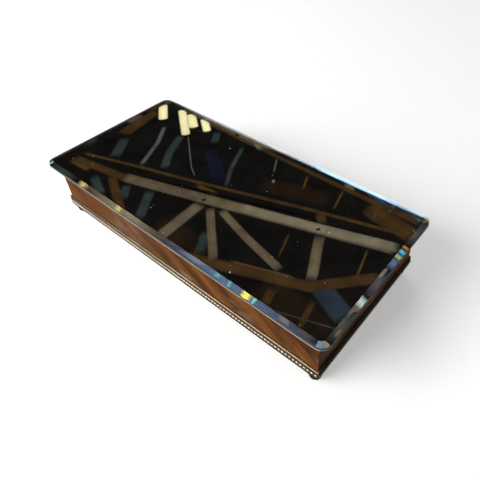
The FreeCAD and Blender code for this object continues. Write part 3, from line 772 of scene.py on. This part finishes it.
# %% Velvet and felt
def pile(name, dark, light, sheen_tint, patch, sheen):
    """A short-pile cloth."""
    material, tree, shader = new_material(name, {
        "Sheen Weight": sheen, "Sheen Roughness": 0.35, "Sheen Tint": (*sheen_tint, 1),
        "Specular IOR Level": 0.15})
    stroked = patches(tree, patch, detail=5, roughness=0.6, distortion=0.6)
    tuft = patches(tree, 0.35, detail=2)
    colour = ramp(tree, stroked, [(0.35, dark), (0.68, light)])
    colour = blend_colours(tree, 0.5, colour, ramp(tree, tuft, [
        (0.3, (0.4, 0.4, 0.4)), (0.7, (1.0, 1.0, 1.0))]), "MULTIPLY")
    rough = span(tree, tuft, 0.3, 0.7, 0.75, 0.95)
    finish_shader(tree, shader, colour, rough, bump(tree, tuft, 0.12 * MM))
    return material


velvet = pile("velvet", (0.095, 0.006, 0.014), (0.17, 0.014, 0.026), (0.95, 0.5, 0.54), 30, sheen=0.7)
felt_cloth = pile("felt_cloth", (0.02, 0.032, 0.022), (0.045, 0.07, 0.045), (0.6, 0.7, 0.6), 12,
                  sheen=0.5)
print("cloths made")

# %% [markdown]
# The floor and the lid padding are cushions: wadding under cloth that is pulled down at the edge.
# A closed grid a little smaller than the pad is blown up by pressure, with its base held still
# and its edge held down, and no point may move further than the room allows.

# %% Padding
PAD_CELL = 4.0 * MM
PAD_FRAMES = 20
PAD_CROWN = 1.1 * MM
PAD_ROUND = 24 * MM
PAD_RIPPLE = 0.5 * MM
PAD_PULL = 0.35 * MM
PAD_HELD = 0.1 * MM


def pad_grid(low, high, facing):
    """A closed grid box. facing is 1 if the soft side is up and -1 if it is down."""
    across = max(2, round((high.x - low.x) / PAD_CELL))
    along = max(2, round((high.y - low.y) / PAD_CELL))
    work = bmesh.new()
    bmesh.ops.create_grid(work, x_segments=across, y_segments=along, size=0.5)
    bmesh.ops.scale(work, vec=(high.x - low.x, high.y - low.y, 1), verts=work.verts)
    middle = (low + high) / 2
    base = low.z if facing > 0 else high.z
    bmesh.ops.translate(work, vec=(middle.x, middle.y, base), verts=work.verts)
    made = bmesh.ops.extrude_face_region(work, geom=work.faces[:])
    soft = [item for item in made["geom"] if isinstance(item, bmesh.types.BMVert)]
    bmesh.ops.translate(work, vec=(0, 0, facing * (high.z - low.z - PAD_CROWN)), verts=soft)
    bmesh.ops.recalc_face_normals(work, faces=work.faces)
    mesh = bpy.data.meshes.new("pad")
    work.to_mesh(mesh)
    work.free()
    return mesh


def swell(mesh, low, high, facing):
    """Blow the pad up with Cloth, then crown it and keep a little of the cloth's ripple."""
    rest = [point.co.copy() for point in mesh.vertices]
    base = low.z if facing > 0 else high.z
    blown = run_cloth(mesh, [n for n, co in enumerate(rest) if abs(co.z - base) < PAD_HELD])
    wide, long = high.x - low.x, high.y - low.y
    for point, before, after in zip(mesh.vertices, rest, blown):
        if abs(before.z - base) < PAD_HELD:
            point.co = before
            continue
        x = 1 - abs(before.x - (low.x + high.x) / 2) / (wide / 2)
        y = 1 - abs(before.y - (low.y + high.y) / 2) / (long / 2)
        edge = min(1.0, x * wide / PAD_ROUND) * min(1.0, y * long / PAD_ROUND)
        lift = PAD_CROWN * (1 - (1 - edge) ** 2)
        ripple = max(-PAD_RIPPLE, min(PAD_RIPPLE, (after.z - before.z) * facing - PAD_CROWN))
        ripple = ripple
        pull = 1 - PAD_PULL * (1 - edge) / wide
        up = before.z + facing * (lift + ripple * edge)
        point.co = Vector((before.x * pull, before.y * pull, up))


def run_cloth(mesh, held):
    """Pressure inside a cloth whose base is pinned. Returns where its points end."""
    soft = new_object("soft", mesh.copy())
    pins = soft.vertex_groups.new(name="held")
    pins.add(held, 1.0, "REPLACE")
    cloth = soft.modifiers.new("cloth", "CLOTH")
    assign(cloth.settings, quality=5, mass=0.3, tension_stiffness=8, compression_stiffness=8,
           bending_stiffness=0.2, use_pressure=True, uniform_pressure_force=4, shrink_min=-0.02,
           vertex_group_mass="held")
    cloth.settings.effector_weights.gravity = 0
    cloth.point_cache.frame_end = PAD_FRAMES
    for number in range(1, PAD_FRAMES + 1):
        bpy.context.scene.frame_set(number)
    graph = bpy.context.evaluated_depsgraph_get()
    blown = [point.co.copy() for point in soft.evaluated_get(graph).data.vertices]
    bpy.data.objects.remove(soft)
    bpy.context.scene.frame_set(1)
    return blown


def make_pad(name, node, body, facing):
    low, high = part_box(node)
    mesh = pad_grid(low, high, facing)
    swell(mesh, low, high, facing)
    shade(mesh, crease=60)
    piece = make_piece(name, mesh, body, [velvet], [node])
    print(name, len(mesh.vertices), "points")


make_pad("floor_cushion", "floor_pad", "case", 1)
make_pad("lid_cushion", "lid_padding", "lid", -1)

# %% [markdown]
# The wall linings are card with a thin wadding, too thin for a simulation to show. Each is a
# closed grid in the plane of its wall, whose edge is rounded over.

# %% Wall linings
LINING_CELL = 5.0 * MM
LINING_ROLL = 1.2 * MM


def lining_mesh(side):
    """A thin panel on the inside of one wall: flat behind, rolled over at its edges."""
    low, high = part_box(f"{side}_lining")
    long_side = side in ("front", "rear")
    half_run = (high.x - low.x) / 2 if long_side else (high.y - low.y) / 2
    far = max(abs(low.y), abs(high.y)) if long_side else max(abs(low.x), abs(high.x))
    thick = (high.y - low.y) if long_side else (high.x - low.x)
    columns = round(2 * half_run / LINING_CELL)
    rows = round((high.z - low.z) / LINING_CELL)
    xs = spaced(-half_run, half_run, columns)
    zs = spaced(low.z, high.z, rows)
    points, faces = [], []
    for layer in (0, 1):
        for z in zs:
            for x in xs:
                edge = min(half_run - abs(x), z - low.z, high.z - z)
                roll = max(0.0, 1 - edge / LINING_ROLL)
                depth = thick * (1 - 0.75 * roll ** 2) if layer else 0.0
                points.append((x, -far + depth, z))
    wide, tall = len(xs), len(zs)
    for layer in (0, 1):
        faces += grid_faces(wide, tall, layer * wide * tall)
    rim = [n for n in range(wide)] + [row * wide + wide - 1 for row in range(1, tall)]
    rim += [(tall - 1) * wide + n for n in range(wide - 2, -1, -1)]
    rim += [row * wide for row in range(tall - 2, 0, -1)]
    for step, here in enumerate(rim):
        after = rim[(step + 1) % len(rim)]
        faces.append([here, after, after + wide * tall, here + wide * tall])
    mesh = mesh_of(points, faces)
    shade(mesh, crease=60)
    return turned(mesh, side)


def spaced(low, high, count):
    """Even steps, with three more near each end where the edge rolls over."""
    rolls = [share * LINING_ROLL for share in (0.25, 0.55, 1.0)]
    inner = [low + (high - low) * step / count for step in range(1, count)]
    inner = [place for place in inner if low + LINING_ROLL < place < high - LINING_ROLL]
    return [low] + [low + r for r in rolls] + inner + [high - r for r in reversed(rolls)] + [high]


for side in SIDES:
    panel = make_piece(f"{side}_wall_velvet", lining_mesh(side), "case", [velvet],
                       [f"{side}_lining"])
print("wall linings made")

# %% [markdown]
# Felt is a sheet with soft cut edges. The sheet under the box and the dots on the rim are made by
# the same ring stacker as the glass: a wide ring in the middle, drawn in a little at both faces.

# %% Felt
FELT_EASE = 0.15 * MM
DOT_RADIUS = 2.6 * MM
DOT_ROUND = DOT_RADIUS * 0.999


def felt_rings(low, high, radius):
    """A low plate with eased edges, as rings."""
    middle = (low.z + high.z) / 2
    steps = [(FELT_EASE, low.z), (0.0, middle), (FELT_EASE, high.z)]
    return [rounded_ring(high, radius, inset, level) for inset, level in steps]


felt_low, felt_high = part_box("base_felt")
rings = felt_rings(felt_low, felt_high, 2 * MM)
felt_mesh = mesh_of([point for ring in rings for point in ring], stack_rings(rings))
underside = make_piece("underside_felt", felt_mesh, "case", [felt_cloth], ["base_felt"])

dot_low, dot_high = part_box("rim_bumpers")
half_dot = Vector((DOT_RADIUS, DOT_RADIUS, 0))
rings = felt_rings(Vector((0, 0, dot_low.z)), half_dot + Vector((0, 0, dot_high.z)), DOT_ROUND)
points, faces = [], []
for sx in (-1, 1):
    for sy in (-1, 1):
        centre = Vector((sx * (dot_high.x - DOT_RADIUS), sy * (dot_high.y - DOT_RADIUS), 0))
        base = len(points)
        points += [tuple(Vector(p) + centre) for ring in rings for p in ring]
        faces += [[base + n for n in face] for face in stack_rings(rings)]
make_piece("rim_dots", mesh_of(points, faces), "case", [felt_cloth], ["rim_bumpers"])
print("felt made")

# %% [markdown]
# ## The studio
# A mirror shows its surroundings, so they are part of its look. A dark roof with bars and rafters
# under it makes this one read as dark glass. It is seen only in reflections, so it neither
# darkens the table nor shows in the picture. Bars are set out in the millimetres of the mirror
# that they are reflected in, and grown to the roof's height from the camera.

# %% Camera
AZIMUTH = math.radians(40.6)
ELEVATION = math.radians(42.6)
ROLL = math.radians(-1.6)
DISTANCE = 0.4228
AIM = Vector((55.9 * MM, 4.5 * MM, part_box("mirror_plate")[1].z - BEVEL_DROP))

back = Vector((math.sin(AZIMUTH) * math.cos(ELEVATION), -math.cos(AZIMUTH) * math.cos(ELEVATION),
               math.sin(ELEVATION)))
lens = assign(bpy.data.cameras.new("camera"), lens=34.66, sensor_width=36.0, shift_x=-0.063,
              shift_y=-0.0625, clip_start=0.01, clip_end=80.0)
camera = new_object("camera", lens)
turn = back.to_track_quat("Z", "Y").to_matrix() @ Matrix.Rotation(ROLL, 3, "Z")
camera.matrix_world = Matrix.Translation(AIM + back * DISTANCE) @ turn.to_4x4()
bpy.context.scene.camera = camera
print("camera at", [round(c, 4) for c in camera.matrix_world.translation])

# %% Stage helpers
STAGE_REACH = 26.0
ROOF_RISE = 6.0
LAYER_DROP = 0.002
BEVEL_LIGHT_DROP = 0.012
SOFT_SHARE = 0.28
SHOULDER = 0.85
BEVEL_LIGHT_WIDTH = 0.4
REAR_LIGHT_WIDTH = 2.4
CORNER_LIGHT_STEPS = 3
LIGHT_TARGET = Vector((0, 0, 0.03))


def glow(name, colour, strength=1.0, cloud=0.35):
    """A plain emitter that thins out where the attribute called solid falls to 0."""
    material = bpy.data.materials.new(name)
    material.use_nodes = True
    tree = material.node_tree
    tree.nodes.clear()
    clouds = patches(tree, 500, detail=4, roughness=0.6)
    strength = span(tree, clouds, 0.3, 0.7, strength * (1 - cloud), strength * (1 + cloud))
    emission = add_node(tree, "Emission", {"Color": (*colour, 1), "Strength": strength})
    solid = add_node(tree, "Attribute", attribute_name="solid").outputs["Fac"]
    clear = add_node(tree, "BsdfTransparent")
    mixed = add_node(tree, "MixShader", {0: solid, 1: clear.outputs[0], 2: emission.outputs[0]})
    add_node(tree, "OutputMaterial", {"Surface": mixed.outputs[0]})
    return material


def stage_mesh(name, points, faces, solid, material, reflected_only=True):
    """A flat panel that isn't part of the object."""
    mesh = bpy.data.meshes.new(name)
    mesh.from_pydata([tuple(point) for point in points], [], faces)
    mesh.attributes.new("solid", "FLOAT", "POINT").data.foreach_set("value", solid)
    mesh.materials.append(material)
    panel = new_object(name, mesh)
    if reflected_only:
        assign(panel, visible_camera=False, visible_diffuse=False, visible_shadow=False)
    return panel


def stage_sheet(name, corners, material, reflected_only=True):
    return stage_mesh(name, corners, [[0, 1, 2, 3]], [1.0] * 4, material, reflected_only)


def square(level):
    """The corners of the stage at one level."""
    return [Vector((sx * STAGE_REACH, sy * STAGE_REACH, level))
            for sx, sy in ((-1, -1), (1, -1), (1, 1), (-1, 1))]


def four_walls(name, top, material, reflected_only=True):
    """Upright sheets round the stage, from the floor up to a level."""
    low, high = square(0.0), square(top)
    return [stage_sheet(f"{name}_{n}", [low[n], low[n - 3], high[n - 3], high[n]], material,
                        reflected_only) for n in range(4)]


def soft_strip(name, path, width, material, fade, tip=1.0):
    """A level strip along a path, soft at its edges and ends, and narrowed to a share at its tips."""
    start, end = path[0], path[-1]
    fade = min(fade, 0.4 * (path[1] - start).length, 0.4 * (end - path[-2]).length)
    stops = [start, start + (path[1] - start).normalized() * fade, *path[1:-1],
             end + (path[-2] - end).normalized() * fade, end]
    inner = 1 - SOFT_SHARE
    across = [(-1.0, 0.0), (-inner, SHOULDER), (0.0, 1.0), (inner, SHOULDER), (1.0, 0.0)]
    wide, points, solid = len(across), [], []
    for number, stop in enumerate(stops):
        run = stops[min(number + 1, len(stops) - 1)] - stops[max(number - 1, 0)]
        at_tip = number in (0, len(stops) - 1)
        side = run.cross(Vector((0, 0, 1))).normalized() * width / 2 * (tip if at_tip else 1.0)
        here = 0.0 if at_tip else 1.0
        points += [stop + side * place for place, _ in across]
        solid += [here * share for _, share in across]
    return stage_mesh(name, points, grid_faces(wide, len(stops)), solid, material)


def roof_point(x, y, lower=0.0):
    """Where the roof is seen in the mirror at a place given in millimetres on the glass."""
    eye = camera.matrix_world.translation
    mirror_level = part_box("mirror_plate")[0].z
    growth = 1 + ROOF_RISE / (eye.z - mirror_level)
    place = Vector((x * MM, y * MM, 0)) * growth - Vector((eye.x, eye.y, 0)) * (growth - 1)
    return Vector((place.x, place.y, mirror_level + ROOF_RISE - lower))


def roof_bar(name, path, width, material, layer, fade, tip):
    """A bar that is seen in the mirror along a path on the glass."""
    growth = (roof_point(1, 0) - roof_point(0, 0)).x / MM
    places = [roof_point(*stop, lower=LAYER_DROP * layer) for stop in path]
    soft_strip(name, places, width * MM * growth, material, fade * MM * growth, tip)


def bevel_point(side, along=0.0, turn=0.0):
    """Where the roof is seen in a bevel: along a side in millimetres, or round its next corner."""
    eye = camera.matrix_world.translation
    low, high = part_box("mirror_plate")
    slope = math.atan2(BEVEL_DROP, BEVEL_WIDTH)
    out = Matrix.Rotation(math.radians(SIDES[side] + turn), 3, "Z") @ Vector((0, -1, 0))
    if turn:
        centre = Vector((math.copysign(high.x - GLASS_CORNER, out.x),
                         math.copysign(high.y - GLASS_CORNER, out.y), high.z))
        place = centre + out * (GLASS_CORNER - BEVEL_WIDTH / 2)
    else:
        middle = high - Vector((BEVEL_WIDTH / 2, BEVEL_WIDTH / 2, 0))
        place = Vector((out.x * middle.x, out.y * middle.y, high.z))
        place += Vector((abs(out.y), abs(out.x), 0)) * along * MM
    bounced = (place - eye).reflect(out * math.sin(slope) + Vector((0, 0, math.cos(slope))))
    return place + bounced * ((low.z + ROOF_RISE - place.z) / bounced.z)


def bevel_light(side, start, end, colour, strength, round_corner=False):
    """A soft light that is seen in one stretch of a bevel, and not in the face."""
    drop = Vector((0, 0, BEVEL_LIGHT_DROP))
    if round_corner:
        share = (end - start) / CORNER_LIGHT_STEPS
        path = [bevel_point(side, turn=start + share * step) - drop
                for step in range(CORNER_LIGHT_STEPS + 1)]
    else:
        path = [bevel_point(side, place) - drop for place in (start, end)]
    width = REAR_LIGHT_WIDTH if side == "rear" else BEVEL_LIGHT_WIDTH
    name = f"{side}_{'corner' if round_corner else 'bevel'}_light_{round(start)}"
    fade = 0.4 * (path[-1] - path[0]).length
    soft_strip(name, path, width, glow(name, colour, strength, cloud=0.2), fade)


def stage_light(name, place, size, energy, colour):
    """A square soft light aimed at the box."""
    lamp = assign(bpy.data.lights.new(name, "AREA"), shape="RECTANGLE", size=size, size_y=size,
                  energy=energy, color=colour)
    holder = new_object(name, lamp)
    aim = (Vector(place) - LIGHT_TARGET).to_track_quat("Z", "Y").to_matrix().to_4x4()
    holder.matrix_world = Matrix.Translation(Vector(place)) @ aim
    return holder


print("stage helpers ready")

# %% Roof, walls and the timbers of the roof
BAR_ENDS = (1.12, 7, 1)  # spread of the width, fade in millimetres, width left at the tip
LAMP_ENDS = (1.2, 3, 0.45)
roof_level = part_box("mirror_plate")[0].z + ROOF_RISE + 0.01
stage_sheet("roof", square(roof_level), glow("roof_dark", (0.0078, 0.0064, 0.0062)))
stage_sheet("dim_floor", square(-MM), glow("floor_dim", (0.062, 0.058, 0.054), cloud=0.15))
four_walls("wall", roof_level, glow("wall_dark", (0.045, 0.04, 0.036)))

GLOWS = {name: glow(name, colour) for name, colour in {
    "beam": (0.135, 0.094, 0.061), "pale_beam": (0.2, 0.162, 0.115),
    "brown": (0.06, 0.03, 0.0115), "rust": (0.085, 0.042, 0.016), "slate": (0.030, 0.040, 0.038),
    "pale_slate": (0.085, 0.095, 0.088), "navy": (0.010, 0.010, 0.026),
    "umber": (0.017, 0.0095, 0.0062), "steel": (0.028, 0.036, 0.054),
    "black": (0.003, 0.003, 0.003),
}.items()}
GLOWS["lamp"] = glow("lamp", (1.0, 0.83, 0.47), 1.25, cloud=0.15)
BARS = [  # tone, layer, width and the places it runs through
    ("navy", 0, 15, (-61, 43), (-9, 6)),
    ("brown", 2, 4.5, (-165, -48), (-97, -26), (-33, -7), (0, 4), (87, 32), (172, 57)),
    ("rust", 3, 6, (-28, -10), (0, -7)), ("rust", 3, 9, (90, 33), (103, 22)),
    ("brown", 3, 10, (-165, -59), (-90, -46)),
    ("beam", 4, 13, (-96, -47), (-5, -19), (101, 14), (168, 35)),
    ("pale_beam", 5, 11, (30, -7), (101, 15), (170, 38)),
    ("black", 3, 4, (-86, -38), (-26, -16), (88, 22)), ("black", 6, 4.5, (-7, -20), (-3, -22)),
    ("black", 6, 4.5, (101, 15), (105, 13)), ("beam", 3, 12, (-4, -26), (-1, -82)),
    ("beam", 3, 8, (7, -25), (56, -70)), ("beam", 3, 8, (17, -21), (60, -33), (106, -43)),
    ("beam", 3, 9, (108, 9), (132, -37)),
    ("brown", 2, 11, (33, -81), (66, -69), (134, -42), (174, 2)),
    ("rust", 5, 2.5, (66, -62), (120, -42)), ("brown", 2, 9, (-108, -52), (-52, -82)),
    ("rust", 2, 9, (-165, -62), (-132, -60)), ("brown", 2, 8, (112, -60), (118, -80)),
    ("brown", 2, 5, (144, -50), (151, -80)),
    ("pale_slate", 1, 5, (-135, 43), (-115, 15), (-97, -23)),
    ("slate", 1, 9, (-106, 43), (-90, 10), (-73, -12)), ("slate", 1, 12, (-153, 0), (-130, -32)),
    ("slate", 1, 9, (-78, 73), (-64, 52)), ("slate", 1, 5, (-35, 68), (-18, 30), (-2, 6)),
    ("pale_slate", 1, 1.5, (-99, 46), (-52, 7), (-38, -1)),
    ("pale_slate", 1, 1.8, (7, 75), (21, 52)), ("pale_beam", 2, 3, (27, 45), (31, 39)),
    ("slate", 1, 9, (26, -48), (41, -73)), ("slate", 1, 10, (-57, -43), (-33, -77)),
    ("slate", 1, 9, (-83, -52), (-66, -70)), ("slate", 1, 9, (-122, -64), (-88, -78)),
    ("rust", 1, 2.2, (50, 71), (60, 49)), ("rust", 1, 2.2, (91, 73), (99, 43)),
    ("rust", 1, 2.5, (129, 73), (136, 52)), ("rust", 1, 2.2, (149, 21), (158, -12)),
    ("brown", 1, 2.2, (85, -4), (96, -34)), ("umber", 0, 34, (100, -62), (168, -76)),
    ("steel", 1, 18, (138, -36), (174, -50)), ("umber", 0, 22, (20, 30), (90, 56)),
    ("umber", 0, 22, (-20, -62), (60, -74)), ("brown", 0, 16, (-170, 60), (-160, 0)),
    ("brown", 1, 12, (-110, 82), (0, 80), (172, 78)), ("brown", 0, 20, (120, 66), (174, 58)),
    ("slate", 2, 1.6, (123, -78), (174, -60)), ("lamp", 7, 10, (-174, 74), (-146, 50)),
    ("lamp", 7, 9, (-146, 80), (-100, 44)), ("lamp", 8, 10, (-130, 80), (-104, 60)),
    ("lamp", 7, 8.5, (-110, 82), (-86, 64)), ("pale_beam", 7, 7, (-32, 83), (-14, 75)),
]
for number, (tone, layer, width, *path) in enumerate(BARS):
    spread, fade, tip = LAMP_ENDS if tone == "lamp" else BAR_ENDS
    roof_bar(f"{tone}_{number}", path, width * spread, GLOWS[tone], layer, fade, tip)
print("bars:", len(BARS))

# %% [markdown]
# A polished bevel is a mirror of its own, tilted away from the face, so it shows another part of
# the room: daylight from the sides, and small flashes where the glass splits a lamp's light.

# %% Lights in the bevels
BEVEL_LIGHTS = [
    ("front", -176, -125, (0.5, 0.65, 0.55), 1.0),
    ("front", -124, -104, (1.0, 0.82, 0.3), 9.0), ("front", -112, 15, (1.0, 0.84, 0.52), 4.2),
    ("front", -8, 182, (0.42, 0.6, 1.0), 5.4), ("front", 70, 79, (0.2, 1.0, 0.7), 13.0),
    ("front", 84, 91, (0.3, 0.9, 1.0), 13.0), ("front", 100, 111, (1.0, 0.78, 0.06), 42.0),
    ("front", 111, 116, (0.3, 1.0, 0.9), 16.0), ("front", -62, -50, (1.0, 0.85, 0.3), 14.0),
    ("right", -80, -42, (0.6, 0.75, 0.65), 1.6),
    ("right", -41, -28, (0.75, 1.0, 0.95), 12.0), ("right", -28, 8, (0.62, 0.6, 0.75), 2.2),
    ("right", 8, 24, (0.3, 0.5, 1.0), 5.0), ("right", 22, 30, (0.6, 1.0, 0.5), 8.0),
    ("right", 29, 37, (0.15, 0.75, 1.0), 10.0), ("right", 37, 42, (1.0, 0.25, 0.05), 10.0),
    ("right", 42, 84, (0.5, 0.7, 0.66), 1.6),
    ("rear", 10, 184, (0.2, 0.52, 1.0), 11.0), ("rear", -176, 60, (0.75, 0.87, 1.0), 2.2),
]
CORNER_LIGHTS = [
    ("left", 62, 86, (0.3, 0.65, 1.0), 12.0), ("front", 3, 50, (0.42, 0.68, 1.0), 8.0),
    ("front", 42, 80, (1.0, 0.9, 0.72), 5.0),
]
for light in BEVEL_LIGHTS:
    bevel_light(*light)
for light in CORNER_LIGHTS:
    bevel_light(*light, round_corner=True)
print("bevel lights:", len(BEVEL_LIGHTS) + len(CORNER_LIGHTS))

# %% [markdown]
# The floor is plain and pale. A little light of its own keeps shadows on it soft, and it throws
# none back on the box, so the side away from the key stays deep. The key is one large soft light
# at the front left. A weak fill lamp behind on the left isn't seen in the mirror, and the world
# gives an even, weak light. Pale backdrops close the view past the floor for the camera only:
# the mirror sees the dim floor, the dark walls and the roof instead.

# %% Floor, lights and world
floor_paint = new_material("floor", {
    "Base Color": (0.86, 0.86, 0.86, 1), "Roughness": 0.9, "Specular IOR Level": 0.1,
    "Emission Color": (1, 1, 1, 1), "Emission Strength": 0.34})[0]
floor = stage_sheet("floor", square(0.0), floor_paint, reflected_only=False)
backdrop = glow("backdrop", (0.56, 0.56, 0.56), cloud=0.0)
panels = four_walls("backdrop", STAGE_REACH, backdrop, reflected_only=False)
for panel in panels:
    panel.visible_shadow = False
for panel in [floor, *panels]:
    assign(panel, visible_diffuse=False, visible_glossy=False, visible_transmission=False)

stage_light("key", (-0.66, -1.36, 0.92), 1.3, 44, (1.0, 0.98, 0.95))
fill = stage_light("fill", (-1.3, 1.3, 1.1), 1.2, 8, (0.95, 0.97, 1.0))
assign(fill, visible_glossy=False, visible_transmission=False)
world = bpy.data.worlds.new("studio")
bpy.context.scene.world = world
world.use_nodes = True
assign(world.cycles_visibility, glossy=False, transmission=False)
background = world.node_tree.nodes["Background"].inputs
background["Color"].default_value = (1.0, 1.0, 1.0, 1)
background["Strength"].default_value = 0.24
bpy.context.scene.view_settings.view_transform = "Standard"
print("studio lit")
